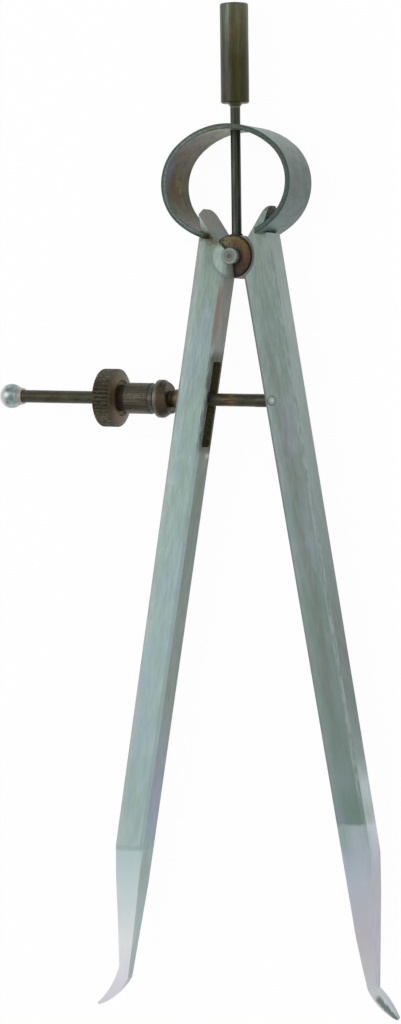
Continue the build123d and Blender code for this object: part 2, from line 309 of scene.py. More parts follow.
def noise(material, vector, scale, detail=3.0, stretch=(1, 1, 1), shift=0.0):
    """Noise between 0 and 1, stretched along an axis where its number is small."""
    mapping = add(material, "ShaderNodeMapping", Vector=vector)
    mapping.inputs["Scale"].default_value = stretch
    mapping.inputs["Location"].default_value = (shift, shift, shift)
    node = add(
        material,
        "ShaderNodeTexNoise",
        Vector=mapping.outputs["Vector"],
        Scale=scale,
        Detail=detail,
        Roughness=noise_roughness,
    )
    return node.outputs["Fac"]


def mottle(material, vector, scale, low, high, stretch=(1, 1, 1), shift=0.0, detail=3.0):
    """Noise spread to the full range between two of its values."""
    return ramp(material, noise(material, vector, scale, detail, stretch, shift), low, high)


def mix(material, factor, first, second):
    """A colour between two others."""
    node = material.node_tree.nodes.new("ShaderNodeMix")
    node.data_type = "RGBA"
    # A Mix node's colours are its inputs 6 and 7 and its output 2
    connect(material, node.inputs[0], factor)
    connect(material, node.inputs[6], first)
    connect(material, node.inputs[7], second)
    return node.outputs[2]


def lay(material, base, colour, *masks):
    """A colour laid over another where the masks, multiplied together, let it."""
    return mix(material, times(material, *masks), base, srgb(*colour))


def shade(material, value, *stops):
    """A colour that changes along the object, from (millimetres, colour) stops in rising order."""
    low = stops[0][0]
    span = stops[-1][0] - low
    share = math_node(material, "DIVIDE", math_node(material, "SUBTRACT", value, low), span)
    node = add(material, "ShaderNodeValToRGB", Fac=share)
    elements = node.color_ramp.elements
    while len(elements) < len(stops):
        elements.new(0.5)
    for element, (place, colour) in zip(elements, stops):
        element.position = (place - low) / span
        element.color = srgb(*colour)
    return node.outputs["Color"]


def roughen(material, shader, height, strength, distance):
    """Fine relief from a noise."""
    bump = add(material, "ShaderNodeBump", Height=height, Strength=strength, Distance=distance)
    connect(material, shader.inputs["Normal"], bump.outputs["Normal"])


def finish(material, shader, colour, grain, low, high):
    """Joins the colour, and lets the grain vary the roughness between two values."""
    connect(material, shader.inputs["Base Color"], colour)
    rough = math_node(material, "MULTIPLY_ADD", grain, high - low)
    rough.node.inputs[2].default_value = low
    connect(material, shader.inputs["Roughness"], rough)
    return material


def leg_places(material, slope, side_direction):
    """Where a point lies on a leg, which way it faces there, and the legs' common texture."""
    vector = local(material, fulcrum, slope)
    across, along, height = parts(material, vector)
    centred = local(material, fulcrum)
    right, up, _ = parts(material, centred)
    return SimpleNamespace(
        across=across,
        along=along,
        height=height,
        centred=centred,
        right=right,
        up=up,
        uneven_up=uneven(material, up, noise(material, centred, 0.5), 1.2),
        frontward=facing(material, (0, 0, 1)),
        sideward=facing(material, side_direction),
        blotch=mottle(material, vector, 0.16, 0.36, 0.66, (1, 0.3, 1)),
        other=mottle(material, vector, 0.22, 0.42, 0.66, (1, 0.25, 1), 40.0),
        grain=mottle(material, vector, 1.5, 0.3, 0.72, (1, 0.16, 1), 9.0, 4.0),
    )


def leg_edge(material, leg):
    """The chamfer between a leg's front and its seen side."""
    between = band(material, leg.sideward, 0.5, 0.85, 0.08)
    return times(material, between, ramp(material, leg.frontward, 0.3, 0.6))


def leg_ground_part(material, leg, foot_line):
    """The part of a leg that is ground bright, below an uneven line."""
    return ramp(material, leg.uneven_up, foot_line + 1.3, foot_line + 0.4)


def left_front(material, leg):
    """The left leg's front: paler towards the foot, with blue and green blotches."""
    # Painted light: this front is painted lighter than the right leg's front, for light falling on
    # it more squarely
    colour = shade(
        material,
        leg.along,
        (-160, (170, 191, 189)),
        (-110, (158, 181, 177)),
        (-60, (149, 171, 165)),
        (-35, (137, 157, 151)),
        (-14, (127, 143, 135)),
        (0, (112, 125, 110)),
    )
    colour = lay(material, colour, (148, 166, 182), leg.blotch, 0.45)
    colour = lay(material, colour, (134, 160, 142), leg.other, 0.4)
    outer_edge = ramp(material, leg.across, -6.6, -8.8)
    return lay(material, colour, (172, 192, 186), outer_edge, 0.3)


def left_side(material, leg):
    """The left leg's inner side, with a faint painted brown reflection near the top."""
    colour = shade(
        material,
        leg.along,
        (-190, (168, 188, 188)),
        (-160, (146, 170, 170)),
        (-150, (148, 158, 180)),
        (-120, (134, 149, 145)),
        (-80, (122, 138, 130)),
        (-40, (122, 136, 128)),
        (-20, (142, 150, 140)),
        (0, (128, 136, 124)),
    )
    colour = lay(material, colour, (112, 124, 108), leg.other, 0.35)
    # Painted reflection: a faint brown tint near the top, for brown parts reflected there
    brown_painted_reflection = band(material, leg.along, -32, -9, 4)
    return lay(material, colour, (138, 116, 108), brown_painted_reflection, leg.blotch, 0.12)


def left_edge(material, leg, colour):
    """The left leg's chamfer, a painted highlight broken by wear, pink-brown below the head."""
    edge = leg_edge(material, leg)
    highlight_and_wear = ramp(material, leg.grain, 0.0, 0.8)
    # Painted highlight on the chamfer, broken by wear
    colour = lay(material, colour, (168, 186, 186), edge, highlight_and_wear, 0.75)
    below_head = band(material, leg.along, -24, -8, 4)
    return lay(material, colour, (140, 108, 102), edge, below_head, 0.8)


def left_foot(material, leg, colour, on_side, side):
    """The left leg's bright foot, and painted light on the step above it against the step's shade.
    """
    foot = shade(
        material,
        leg.up,
        (-200, (226, 223, 234)),
        (-192, (230, 228, 238)),
        (-183, (234, 238, 240)),
        (-171, (212, 224, 226)),
        (-158, (184, 208, 208)),
    )
    foot = lay(material, foot, (206, 218, 222), leg.blotch, 0.3)
    foot = mix(material, times(material, on_side, 0.85), foot, side)
    colour = mix(material, leg_ground_part(material, leg, left_foot_line), colour, foot)
    # Painted light on the downward-facing step above the foot, against its shade
    downward = ramp(material, facing(material, (0, -1, 0)), 0.12, 0.5)
    painted_light_at_step = band(material, leg.up, -162, -157, 1)
    return lay(material, colour, (216, 234, 232), downward, painted_light_at_step, 0.7)


def left_tongue(material, leg, colour):
    """The left leg's tongue in the bow: pale, speckled, with dark specks of dirt and painted shade
    round the sides.
    """
    tongue = ramp(material, leg.along, *left_tongue_edge)
    pale = mix(material, leg.speck, srgb(134, 134, 126), srgb(158, 158, 152))
    colour = mix(material, tongue, colour, pale)
    flat = ramp(material, leg.frontward, *flat_facing)
    colour = lay(material, colour, (150, 162, 158), tongue, flat)
    # Dirt and painted shade: dark specks where the tongue turns away from the front
    speckled = ramp(material, leg.speck, 0.3, 0.8)
    painted_shade_on_sides = ramp(material, leg.frontward, 0.95, 0.6)
    return lay(material, colour, (88, 86, 84), tongue, speckled, painted_shade_on_sides, 0.5)


def left_head_rings(material, leg, colour):
    """A dark ring of dirt and painted shade and a pale painted highlight within it, at the lower
    left of the left leg's cheek.
    """
    flat = ramp(material, leg.frontward, *flat_facing)
    radius = radius_of(material, leg.right, leg.up)
    low = ramp(material, leg.up, 3.2, 1.6)
    left = ramp(material, leg.right, -0.4, -1.4)
    # Dirt and painted shade along the cheek's edge
    dirt_and_shade_ring = band(material, radius, 5.15, 5.65, 0.25)
    colour = lay(material, colour, (96, 114, 116), dirt_and_shade_ring, low, left, flat, 0.75)
    # Painted highlight just within the cheek's edge
    highlight_ring = band(material, radius, 2.6, 4.9, 0.35)
    return lay(material, colour, (166, 180, 176), highlight_ring, low, left, flat, 0.5)


def left_head_dirt_and_shade(material, leg, colour):
    """The dirt and painted shade under the left leg's cheek and at its shoulder."""
    flat = ramp(material, leg.frontward, *flat_facing)
    # Dirt and painted shade under the cheek, at the shoulder and above the cheek
    under_cheek = band(material, leg.up, -6.4, -1.0, 0.8)
    inner_part = ramp(material, leg.right, -3.4, 0.6)
    colour = lay(material, colour, (56, 62, 44), under_cheek, inner_part, flat, 0.9)
    front = ramp(material, leg.frontward, 0.5, 0.9)
    shoulder = band(material, leg.uneven_up, 4.9, 6.5, 0.5)
    patches = mottle(material, leg.centred, 1.1, 0.36, 0.52)
    colour = lay(material, colour, (92, 92, 52), shoulder, patches, front, 0.85)
    above_cheek = band(material, leg.up, 3.0, 6.4, 0.9)
    inner_part = band(material, leg.right, -7.0, 2.5, 1.0)
    specks = mottle(material, leg.centred, 0.9, 0.4, 0.54, shift=17.0)
    return lay(material, colour, (76, 80, 46), above_cheek, inner_part, specks, front, 0.8)


def left_slot(material, leg, colour, on_side):
    """The slot of the spindle, with painted shade inside it and beside it, and a painted highlight
    below it.
    """
    slot_length = band(material, leg.along, slot_low, slot_high, 0.1)
    height = unsigned(material, leg.height)
    slot_width = ramp(material, height, slot_half_width + 0.1, slot_half_width)
    on_wall = ramp(material, unsigned(material, leg.sideward), 0.9, 0.6)
    inside = times(material, slot_length, slot_width, on_wall)
    # Painted shade inside the slot
    slot_painted_shade = mix(material, leg.speck, srgb(72, 68, 30), srgb(102, 94, 62))
    colour = mix(material, inside, colour, slot_painted_shade)
    # Painted shade on the inner side beside the slot
    beside_slot_shade_length = band(material, leg.along, slot_low - 1.2, slot_high + 2.0, 1.6)
    beside_slot_shade_width = ramp(material, uneven(material, leg.height, leg.grain, 0.6), 4.6, 3.4)
    inner = ramp(material, leg.sideward, 0.3, 0.75)
    colour = lay(material, colour, (52, 50, 32), beside_slot_shade_length, beside_slot_shade_width, inner, 0.9)
    # Painted highlight below the slot's lower end
    highlight_length = band(material, leg.along, -54.2, -53.0, 0.4)
    highlight_width = band(material, leg.height, -3.4, -0.6, 0.5)
    return lay(material, colour, (196, 194, 172), highlight_length, highlight_width, on_side, 0.7)


def left_leg_material():
    """Satin steel of the left leg: mottled front, streaked inner side, bright foot."""
    material, shader = new_material("left_leg_steel", 0.25, 0.4)
    inward = (math.cos(leg_slope), -math.sin(leg_slope), 0)
    leg = leg_places(material, leg_slope, inward)
    leg.speck = mottle(material, leg.centred, 2.4, 0.45, 0.62, shift=3.0)
    on_side = ramp(material, leg.sideward, *side_facing)
    side = left_side(material, leg)
    colour = mix(material, on_side, left_front(material, leg), side)
    colour = left_edge(material, leg, colour)
    colour = left_foot(material, leg, colour, on_side, side)
    colour = left_tongue(material, leg, colour)
    colour = left_head_rings(material, leg, colour)
    colour = left_head_dirt_and_shade(material, leg, colour)
    colour = left_slot(material, leg, colour, on_side)
    roughen(material, shader, leg.grain, 0.12, 0.0002)
    return finish(material, shader, colour, leg.grain, 0.34, 0.56)


def right_front(material, leg):
    """The right leg's front, with a faint dark streak by its outer edge."""
    # Painted shade: this front is painted darker than the left leg's front, for light falling on
    # it less squarely
    colour = shade(
        material,
        leg.along,
        (-150, (117, 139, 133)),
        (-135, (114, 132, 126)),
        (-118, (110, 126, 119)),
        (-90, (118, 134, 132)),
        (-55, (124, 136, 134)),
        (-25, (116, 132, 124)),
        (0, (124, 137, 128)),
    )
    colour = lay(material, colour, (128, 144, 146), leg.blotch, 0.4)
    colour = lay(material, colour, (102, 128, 112), leg.other, 0.35)
    streak_width = band(material, uneven(material, leg.across, leg.blotch, 1.2), 6.6, 8.6, 0.7)
    streak_length = band(material, leg.along, -128, -22, 8)
    colour = lay(material, colour, (104, 112, 98), streak_width, streak_length, 0.4)
    inner_part = ramp(material, leg.across, 5.4, 3.4)
    return lay(material, colour, (140, 162, 154), inner_part, 0.3)


def right_side(material, leg):
    """The right leg's outer side, brightest where the foot begins."""
    colour = shade(
        material,
        leg.along,
        (-195, (188, 186, 198)),
        (-165, (182, 184, 194)),
        (-148, (222, 232, 240)),
        (-135, (126, 147, 145)),
        (-120, (98, 114, 112)),
        (-100, (105, 118, 116)),
        (-80, (118, 136, 133)),
        (-45, (138, 156, 152)),
        (-18, (150, 165, 162)),
        (0, (142, 158, 152)),
    )
    return lay(material, colour, (128, 140, 134), leg.other, 0.35)


def right_edge(material, leg, colour):
    """The right leg's outer edge, a painted highlight broken by wear, and its teal inner one."""
    highlight_and_wear = ramp(material, leg.grain, 0.0, 0.8)
    # Painted highlight on the chamfer, broken by wear
    colour = lay(material, colour, (166, 180, 176), leg_edge(material, leg), highlight_and_wear, 0.6)
    inward = facing(material, (-math.cos(leg_slope), -math.sin(leg_slope), 0))
    turned_in = ramp(material, inward, 0.4, 0.6)
    lower_part = ramp(material, leg.along, -20, -60)
    return lay(material, colour, (98, 128, 132), turned_in, lower_part, 0.6)


def right_patches(material, leg, colour):
    """The green, violet and lilac patches on the right leg's front."""
    above_foot = band(material, leg.up, -149.5, -141, 4)
    outer_part = ramp(material, uneven(material, leg.across, leg.blotch, 1.5), 5.0, 8.0)
    colour = lay(material, colour, (98, 124, 114), above_foot, outer_part, 0.55)
    lower_part = ramp(material, leg.along, -128, -145)
    inner_part = ramp(material, leg.across, 6.0, 4.0)
    colour = lay(material, colour, (134, 142, 172), lower_part, leg.other, inner_part, 0.6)
    below_pin = band(material, leg.along, -54, -41, 4)
    outer_part = band(material, leg.across, 6.4, 9.2, 1.0)
    return lay(material, colour, (132, 132, 150), below_pin, outer_part, 0.45)


def right_foot(material, leg, colour, on_side, side):
    """The right leg's violet-grey foot."""
    foot = shade(
        material,
        leg.up,
        (-200, (206, 218, 216)),
        (-191, (206, 210, 212)),
        (-178, (196, 191, 200)),
        (-166, (182, 188, 196)),
        (-157, (152, 173, 177)),
        (-149, (146, 166, 166)),
    )
    upper_part = ramp(material, leg.up, -158.5, -155)
    inner_part = ramp(material, leg.across, 7.0, 5.0)
    foot = lay(material, foot, (134, 162, 152), upper_part, inner_part, 0.6)
    foot = lay(material, foot, (188, 184, 204), leg.blotch, 0.4)
    middle_part = band(material, leg.up, -174, -160, 4)
    foot = lay(material, foot, (172, 190, 204), leg.other, middle_part, 0.35)
    foot = mix(material, times(material, on_side, 0.8), foot, side)
    return mix(material, leg_ground_part(material, leg, right_foot_line), colour, foot)


def right_toe(material, leg, colour):
    """The dark streak along the right leg's toe: dirt and painted shade in its crease."""
    place = fulcrum + Vector(toe_streak_place) / millimetres_in_metre
    on_toe = local(material, place, toe_turn)
    down_toe, off_toe, _ = parts(material, on_toe)
    # Dirt and painted shade along the toe's crease
    toe_streak_length = band(material, down_toe, 0.8, 9.0, 0.8)
    toe_streak_width = band(material, uneven(material, off_toe, leg.grain, 0.5), -1.1, 0.25, 0.3)
    return lay(material, colour, (84, 110, 100), toe_streak_length, toe_streak_width, 0.85)


def right_leg_material():
    """Satin steel of the right leg: darker front with a faint streak, violet-grey foot."""
    material, shader = new_material("right_leg_steel", 0.25, 0.4)
    outward = (math.cos(leg_slope), math.sin(leg_slope), 0)
    leg = leg_places(material, -leg_slope, outward)
    on_side = ramp(material, leg.sideward, *side_facing)
    side = right_side(material, leg)
    colour = mix(material, on_side, right_front(material, leg), side)
    colour = right_edge(material, leg, colour)
    colour = right_patches(material, leg, colour)
    colour = right_foot(material, leg, colour, on_side, side)
    colour = right_toe(material, leg, colour)
    tongue = ramp(material, leg.along, *right_tongue_edge)
    colour = lay(material, colour, (120, 140, 128), tongue, 0.6)
    roughen(material, shader, leg.grain, 0.12, 0.0002)
    return finish(material, shader, colour, leg.grain, 0.34, 0.56)


def handle_material():
    """Oil-blackened steel of the stem and the grip, drawn lengthwise, with painted reflection:
    brown where it faces the front, grey at the sides.
    """
    material, shader = new_material("handle_steel", 0.7, 0.42)
    vector = local(material, fulcrum)
    _, up, _ = parts(material, vector)
    lines = mottle(material, vector, 2.2, 0.32, 0.7, (1, 0.05, 1))
    cloud = mottle(material, vector, 0.35, 0.38, 0.64, (1, 0.45, 1))
    brown = shade(
        material,
        up,
        (stem_start, (52, 57, 48)),
        (stem_end, (54, 58, 48)),
        (grip_start, (56, 54, 18)),
        (grip_middle, (58, 55, 22)),
        (60, (80, 77, 52)),
        (grip_end, (90, 94, 68)),
    )
    grey = shade(
        material,
        up,
        (stem_start, (76, 84, 74)),
        (stem_end, (76, 84, 74)),
        (grip_start, (60, 60, 48)),
        (grip_middle, (66, 68, 50)),
        (grip_end, (104, 116, 98)),
    )
    # Painted reflection: brown where the surface faces the front, grey where it turns to the sides
    front_facing_painted_reflection = ramp(material, facing(material, (0.64, 0, 0.77)), 0.62, 0.92)
    colour = mix(material, front_facing_painted_reflection, grey, brown)
    colour = mix(material, times(material, cloud, 0.35), colour, grey)
    colour = lay(material, colour, (50, 46, 24), lines, 0.4)
    grip_top = band(material, up, 59, 65, 2.5)
    colour = lay(material, colour, (104, 76, 56), cloud, grip_top, front_facing_painted_reflection, 0.5)
    # Painted reflection: lighter lilac where the grip's foot faces the front left
    left_part = ramp(material, facing(material, (-0.8, 0, 0.6)), 0.55, 0.85)
    grip_foot = band(material, up, 42, 55, 3)
    colour = lay(material, colour, (104, 94, 100), left_part, lines, grip_foot, 0.5)
    rim = ramp(material, unsigned(material, facing(material, (0, 1, 0))), 0.25, 0.6)
    colour = lay(material, colour, (54, 56, 52), rim, 0.7)
    # Painted light on the neck, against the shade under the grip
    neck = band(material, up, neck_low, neck_high, 0.3)
    colour = lay(material, colour, (112, 116, 82), neck, 0.8)
    roughen(material, shader, lines, 0.2, 0.0002)
    return finish(material, shader, colour, lines, 0.32, 0.5)


def turned_material(name, brown, grey, cloud_middle, speck_scale, stretch=(1, 1, 1)):
    """Oil-blackened turned steel on the spindle's axis: brown, with grey where rubbing has bared
    it.
    """
    material, shader = new_material(name, 0.7, 0.44)
    vector = local(material, swivel, screw_turn)
    cloud_span = (cloud_middle - 0.12, cloud_middle + 0.14)
    cloud = mottle(material, vector, 0.5, *cloud_span, (0.6, 1, 1))
    speck = mottle(material, vector, speck_scale, 0.42, 0.66, stretch)
    colour = lay(material, srgb(*brown), grey, cloud, 0.4)
    colour = lay(material, colour, grey, speck, 0.35)
    return material, shader, vector, colour, speck


def nut_collar(material, vector, colour):
    """The nut's knurled collar, with painted reflection: grey-green and speckled with painted
    glints above and below, brown at the front, and painted lighter in the grooves against their
    shade.
    """
    distance, sideways, height = parts(material, vector)
    collar = ramp(material, distance, *collar_edge)
    # Painted reflection: grey-green where the collar faces up or down
    painted_light_top_and_bottom = ramp(material, unsigned(material, facing(material, (0, 1, 0))), 0.25, 0.7)
    colour = lay(material, colour, (62, 68, 57), painted_light_top_and_bottom, collar, 0.6)
    front_right = (math.sin(nut_reflection_turn), 0, math.cos(nut_reflection_turn))
    # Painted reflection: brown where the collar faces the front right
    front = ramp(material, facing(material, front_right), 0.5, 0.85)
    colour = lay(material, colour, (74, 54, 26), collar, front, 0.35)
    # Painted light in the knurl's grooves, against their shade
    groove_painted_light = ramp(material, radius_of(material, sideways, height), *knurl_root_radius)
    colour = lay(material, colour, (92, 84, 68), collar, groove_painted_light, 0.6)
    # Painted glints above and below
    painted_glints = mottle(material, vector, 1.5, 0.52, 0.58, shift=13.0)
    colour = lay(material, colour, (128, 130, 124), painted_light_top_and_bottom, collar, painted_glints, 0.7)
    pits = mottle(material, vector, 1.5, 0.52, 0.58, shift=31.0)
    return lay(material, colour, (30, 34, 30), painted_light_top_and_bottom, collar, pits, 0.7)


def nut_sleeve(material, vector, colour):
    """The nut's sleeve: drawn lengthwise, olive at the top."""
    distance, _, _ = parts(material, vector)
    sleeve = ramp(material, distance, *sleeve_edge)
    lines = mottle(material, vector, 1.8, 0.35, 0.66, (0.05, 1, 1))
    drawn = mix(material, lines, srgb(60, 54, 40), srgb(98, 94, 82))
    colour = mix(material, times(material, sleeve, 0.85), colour, drawn)
    top = ramp(material, facing(material, (0, 1, 0)), 0.4, 0.9)
    return lay(material, colour, (58, 60, 42), sleeve, top, 0.75)


def nut_dish(material, vector, colour):
    """The nut's dished face with a painted highlight ring, its undercut neck in painted shade, and
    the pale band at the sleeve's end.
    """
    distance, sideways, height = parts(material, vector)
    radius = radius_of(material, sideways, height)
    above_floor = ramp(material, distance, *dish_floor)
    below_rim = ramp(material, distance, *dish_rim)
    ring = band(material, radius, 4.7, 6.9, 0.2)
    dished = times(material, above_floor, ring, below_rim)
    colour = lay(material, colour, (100, 88, 62), dished, 0.6)
    # Painted highlight on the ring at the dish's edge, on the front side
    highlight_ring = band(material, radius, 4.7, 5.8, 0.25)
    near_side = ramp(material, height, 0.0, 3.0)
    colour = lay(material, colour, (112, 94, 62), dished, highlight_ring, near_side, 0.8)
    # Painted shade in the undercut neck
    undercut = band(material, distance, undercut_low, undercut_high, 0.15)
    undercut_painted_shade = ramp(material, radius, *undercut_radius)
    colour = lay(material, colour, (40, 32, 14), undercut, undercut_painted_shade, 0.8)
    pale = band(material, distance, pale_low, pale_high, 0.3)
    return lay(material, colour, (78, 82, 74), pale, 0.6)


def nut_material():
    """The thumb nut: speckled knurl with painted reflection and glints, drawn sleeve, pale band at
    its end, brown painted shade in the neck.
    """
    material, shader, vector, colour, speck = turned_material(
        "thumb_nut_steel", (63, 51, 32), (86, 82, 68), 0.5, 2.6
    )
    colour = nut_collar(material, vector, colour)
    colour = nut_sleeve(material, vector, colour)
    colour = nut_dish(material, vector, colour)
    roughen(material, shader, speck, 0.25, 0.0003)
    return finish(material, shader, colour, speck, 0.34, 0.56)


def washer_material():
    """The ball-nosed seat washer: dark brown cone, darker above and below in painted shade, a
    painted tan highlight on the ball, pale at the back.
    """
    material, shader, vector, colour, speck = turned_material(
        "seat_washer_steel", (70, 58, 36), (92, 88, 74), 0.54, 2.0
    )
    distance, _, _ = parts(material, vector)
    # Painted shade: darker where the washer faces up or down
    painted_light_top_and_bottom = ramp(material, unsigned(material, facing(material, (0, 1, 0))), 0.3, 0.8)
    colour = lay(material, colour, (44, 48, 42), painted_light_top_and_bottom, 0.4)
    # Painted tan highlight on the ball
    ball = ramp(material, distance, *ball_edge)
    colour = lay(material, colour, (136, 110, 76), ball, 0.8)
    back = ramp(material, distance, *washer_back_edge)
    colour = lay(material, colour, (116, 116, 106), back, 0.6)
    roughen(material, shader, speck, 0.2, 0.0002)
    return finish(material, shader, colour, speck, 0.32, 0.5)


def spindle_material():
    """The threaded spindle: dark steel under oil, with a painted tan highlight near the right leg.
    """
    material, shader, vector, colour, speck = turned_material(
        "oiled_dark_steel", (64, 58, 42), (92, 96, 82), 0.5, 2.4, (0.12, 1, 1)
    )
    distance, _, _ = parts(material, vector)
    shadowed = ramp(material, distance, 22.0, 14.0)
    colour = lay(material, colour, (58, 55, 42), shadowed, 0.35)
    # Painted tan highlight near the right leg
    tan_painted_highlight = band(material, distance, 12.0, 16.5, 1.5)
    colour = lay(material, colour, (158, 124, 76), tan_painted_highlight, speck, 0.45)
    roughen(material, shader, speck, 0.15, 0.0002)
    return finish(material, shader, colour, speck, 0.34, 0.52)


def cap_material():
    """Bright polished steel with faint smears, pinkish at its collar, with a painted highlight on
    its front left.
    """
    material, shader = new_material("polished_cap", 0.75, 0.25)
    vector = local(material, swivel, screw_turn)
    distance, _, _ = parts(material, vector)
    smear = mottle(material, vector, 0.5, 0.36, 0.66, detail=2.0)
    colour = mix(material, smear, srgb(126, 146, 142), srgb(176, 192, 190))
    colour = lay(material, colour, (176, 166, 160), ramp(material, distance, *cap_collar_edge))
    front_left = (-math.sin(cap_highlight_turn), 0, math.cos(cap_highlight_turn))
    # Painted highlight where the cap faces the front left
    painted_highlight = ramp(material, facing(material, front_left), 0.35, 0.75)
    colour = lay(material, colour, (218, 226, 225), painted_highlight, 0.8)
    roughen(material, shader, smear, 0.03, 0.0003)
    return finish(material, shader, colour, smear, 0.24, 0.4)


def roller_material():
    """The fulcrum roller: browned steel, olive at the top, reddish below, darker at the rim in
    painted shade.
    """
    material, shader = new_material("roller_steel", 0.6, 0.45)
    vector = local(material, fulcrum)
    right, up, _ = parts(material, vector)
    cloud = mottle(material, vector, 0.6, 0.4, 0.62)
    speck = mottle(material, vector, 2.2, 0.45, 0.62, shift=5.0)
    colour = shade(
        material, up, (-6, (40, 34, 24)), (-2, (52, 33, 25)), (2, (72, 54, 32)), (6, (104, 92, 48))
    )
    colour = lay(material, colour, (72, 40, 28), cloud, 0.4)
    colour = lay(material, colour, (66, 54, 54), speck, 0.35)
    right_part = band(material, right, 3.0, 4.4, 0.7)
    colour = lay(material, colour, (100, 74, 28), right_part, ramp(material, up, -3.0, 1.0), 0.55)
    # Painted shade at the rim, for the gap beside the roller
    rim = ramp(material, radius_of(material, right, up), *roller_shaded_rim_radius)
    colour = lay(material, colour, (38, 38, 24), rim, 0.6)
    left_part = ramp(material, right, 1.0, -2.0)
    top_part = ramp(material, up, 2.0, 3.6)
    flecks = mottle(material, vector, 1.3, 0.4, 0.56, shift=17.0)
    colour = lay(material, colour, (110, 116, 86), left_part, top_part, flecks, 0.8)
    roughen(material, shader, speck, 0.2, 0.0002)
    return finish(material, shader, colour, speck, 0.38, 0.56)


def pin_material(name, centre, pin_radius, middle, ring, rim):
    """A pin end marked by rubbing, coloured in rings about its centre, where a bright middle is a
    painted highlight.
    """
    material, shader = new_material(name, 0.3, 0.4)
    vector = local(material, centre)
    right, up, _ = parts(material, vector)
    speck = mottle(material, vector, 1.6, 0.38, 0.64)
    colour = shade(
        material,
        radius_of(material, right, up),
        (0.0, middle),
        (0.25 * pin_radius, middle),
        (0.42 * pin_radius, ring),
        (0.66 * pin_radius, ring),
        (0.8 * pin_radius, rim),
        (1.2 * pin_radius, rim),
    )
    colour = lay(material, colour, rim, speck, 0.35)
    left_part = band(material, right, -0.75 * pin_radius, 0.05 * pin_radius, 0.2 * pin_radius)
    upper_part = band(material, up, -0.1 * pin_radius, 0.7 * pin_radius, 0.2 * pin_radius)
    colour = lay(material, colour, ring, left_part, upper_part, 0.5)
    roughen(material, shader, speck, 0.15, 0.0002)
    return finish(material, shader, colour, speck, 0.3, 0.5)


def bow_places(material):
    """Where a point lies on the bow, from its middle, and the bow's texture."""
    centre = fulcrum + Vector((0, bow_centre_height, 0)) / millimetres_in_metre
    vector = local(material, centre)
    right, up, level = parts(material, vector)
    return SimpleNamespace(
        vector=vector,
        right=right,
        up=up,
        level=level,
        cloud=mottle(material, vector, 0.22, 0.38, 0.64),
        spots=mottle(material, vector, 0.3, 0.44, 0.6, shift=21.0),
        speck=mottle(material, vector, 2.0, 0.42, 0.64, shift=7.0),
    )


def bow_outside(material, bow):
    """The grey outside of the bow."""
    colour = shade(
        material,
        bow.up,
        (-16, (108, 132, 128)),
        (-4, (98, 110, 107)),
        (4, (104, 114, 110)),
        (15, (130, 148, 140)),
    )
    colour = lay(material, colour, (118, 136, 134), bow.cloud, 0.5)
    return lay(material, colour, (98, 95, 88), bow.spots, 0.35)


def bow_inside(material, bow):
    """The browned inside of the bow, bluish by its front edge at mid height."""
    colour = shade(
        material,
        bow.up,
        (-14, (66, 66, 30)),
        (-9, (70, 72, 28)),
        (-4, (74, 64, 28)),
        (1, (76, 66, 34)),
        (4, (92, 86, 76)),
        (9, (108, 96, 84)),
        (12, (122, 122, 108)),
        (15, (142, 152, 116)),
    )
    colour = lay(material, colour, (58, 48, 22), bow.cloud, 0.6)
    colour = lay(material, colour, (104, 104, 80), bow.spots, 0.5)
    near_edge = ramp(material, bow.level, 3.0, 6.0)
    mid_height = band(material, bow.up, 1.0, 6.5, 2.0)
    return lay(material, colour, (92, 98, 116), near_edge, mid_height, 0.8)


def bow_marks(material, bow, colour):
    """The rust and moss in the bow's left part, and the dark flecks near its ends."""
    left_part = ramp(material, bow.right, 0, -8)
    rust_height = band(material, bow.up, -5.5, 2, 1.5)
    rust_depth = band(material, bow.level, -0.5, 3.5, 1.3)
    colour = lay(material, colour, (84, 52, 24), rust_height, rust_depth, left_part, 0.8)
    moss_height = band(material, bow.up, -3.5, 2.5, 1.0)
    moss_depth = band(material, bow.level, -2.2, 0.8, 0.8)
    spotted = ramp(material, bow.spots, 0.0, 0.6)
    moss = times(material, moss_height, moss_depth, left_part, spotted)
    colour = lay(material, colour, (112, 112, 36), moss, 0.7)
    flecks = mottle(material, bow.vector, 0.75, 0.46, 0.56, shift=11.0)
    low_part = ramp(material, bow.up, -4, -8)
    return lay(material, colour, (52, 58, 22), flecks, low_part, 0.75)


def bow_rim(material, bow):
    """The bow's flat edges: dark outermost, darker at the right in painted shade, olive at the
    top.
    """
    rounded_up = times(material, bow.up, bow_width_share)
    outermost = ramp(material, radius_of(material, bow.right, rounded_up), *bow_outer_radius)
    colour = mix(material, outermost, srgb(108, 122, 120), srgb(60, 76, 68))
    # Painted shade on the right part of the edges
    right_part = ramp(material, bow.right, -3.0, 4.0)
    colour = lay(material, colour, (70, 84, 78), right_part, 0.85)
    colour = lay(material, colour, (44, 54, 42), bow.speck, 0.4)
    top = ramp(material, bow.up, 11.0, 14.5)
    spotted = ramp(material, bow.spots, 0.0, 0.5)
    return lay(material, colour, (84, 90, 62), top, spotted, 0.6)


def bow_material():
    """Spring steel: grey outside, browned within, with dark speckled edges, painted shade on their
    right part.
    """
    material, shader = new_material("bow_spring_steel", 0.25, 0.42, 0.12)
    bow = bow_places(material)
    inside = bow_marks(material, bow, bow_inside(material, bow))
    outward = ramp(material, normal_dot(material, bow.vector), -4.0, 4.0)
    colour = mix(material, outward, inside, bow_outside(material, bow))
    on_rim = ramp(material, unsigned(material, facing(material, (0, 0, 1))), 0.35, 0.8)
    colour = mix(material, on_rim, colour, bow_rim(material, bow))
    bottom = ramp(material, bow.up, -12.0, -14.0)
    left_end = ramp(material, bow.right, -2.0, -4.0)
    colour = lay(material, colour, (52, 58, 34), bottom, left_end, 0.8)
    roughen(material, shader, bow.speck, 0.05, 0.0001)
    return finish(material, shader, colour, bow.speck, 0.34, 0.46)


def assign(node, material):
    """Gives a CAD node its material."""
    target = frame["nodes"][node]
    target.data.materials.clear()
    target.data.materials.append(material)


